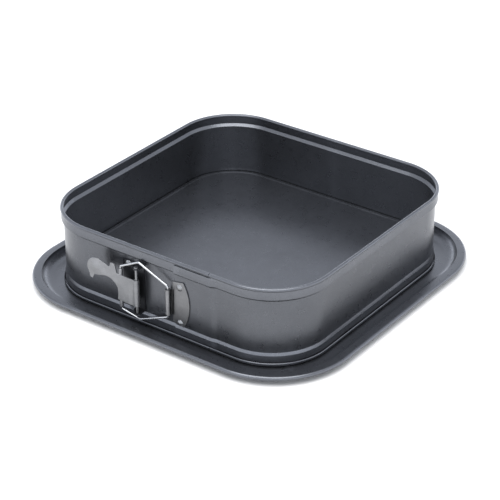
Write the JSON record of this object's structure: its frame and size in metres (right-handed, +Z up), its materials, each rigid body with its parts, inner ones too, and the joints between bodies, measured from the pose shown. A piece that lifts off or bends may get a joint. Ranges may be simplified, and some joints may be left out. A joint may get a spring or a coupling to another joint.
{
  "type": "springform pan",
  "caption": "Square springform pan: coated steel ring with an over-centre latch, lifting off a base with a raised platform and a drip gutter.",
  "frame": {"origin": "centre of the underside of the drip tray, on the surface that the pan stands on", "axes": "+Z up, -Y towards the wall with the latch, +X to the right of someone who faces the latch"},
  "size_m": [0.2914, 0.2914, 0.0682],
  "materials": {
    "coated_steel": "dark grey metallic non-stick coating, satin gloss",
    "latch_steel": "satin grey pressed steel",
    "plate_steel": "satin nickel-plated steel",
    "bright_steel": "bright rivet and pin steel",
    "bail_chrome": "bright chromed wire"
  },
  "bodies": {
    "base": {"base_tray": "coated_steel"},
    "ring_back": {"ring_band_back": "coated_steel"},
    "ring_left": {"ring_band_left": "coated_steel", "lever_bracket": "coated_steel", "bracket_rivet_lower": "bright_steel", "bracket_rivet_upper": "bright_steel", "lever_pin": "bright_steel"},
    "ring_right": {"ring_band_right": "coated_steel", "bail_hinge_plate": "plate_steel", "plate_rivet_lower": "bright_steel", "plate_rivet_upper": "bright_steel"},
    "lever": {"latch_lever": "latch_steel"},
    "bail": {"bail_wire": "bail_chrome"}
  },
  "joints": [
    {"name": "ring_lift", "type": "slide", "parent": "base", "child": "ring_back", "axis": [0, 0, 1], "range_m": [0, 0.1]},
    {"name": "ring_left_spread", "type": "hinge", "parent": "ring_back", "child": "ring_left", "pos_m": [-0.1082, 0.1082, 0.04], "axis": [0, 0, -1], "range_deg": [0, 0.21]},
    {"name": "ring_right_spread", "type": "hinge", "parent": "ring_back", "child": "ring_right", "pos_m": [0.1082, 0.1082, 0.04], "axis": [0, 0, 1], "range_deg": [0, 0.63]},
    {"name": "lever_swing", "type": "hinge", "parent": "ring_left", "child": "lever", "pos_m": [-0.0154, -0.1278, 0.0313], "axis": [0, 0, 1], "range_deg": [0, 55]},
    {"name": "bail_swing", "type": "hinge", "parent": "ring_right", "child": "bail", "pos_m": [0.0122, -0.1241, 0.0316], "axis": [0, 0, 1], "range_deg": [0, 16.5]}
  ],
  "couplings": [
    {"joint": "ring_left_spread", "follows": "lever_swing", "ratio": 0.003773},
    {"joint": "ring_right_spread", "follows": "lever_swing", "ratio": 0.01132},
    {"joint": "bail_swing", "follows": "lever_swing", "ratio": 0.29927}
  ]
}
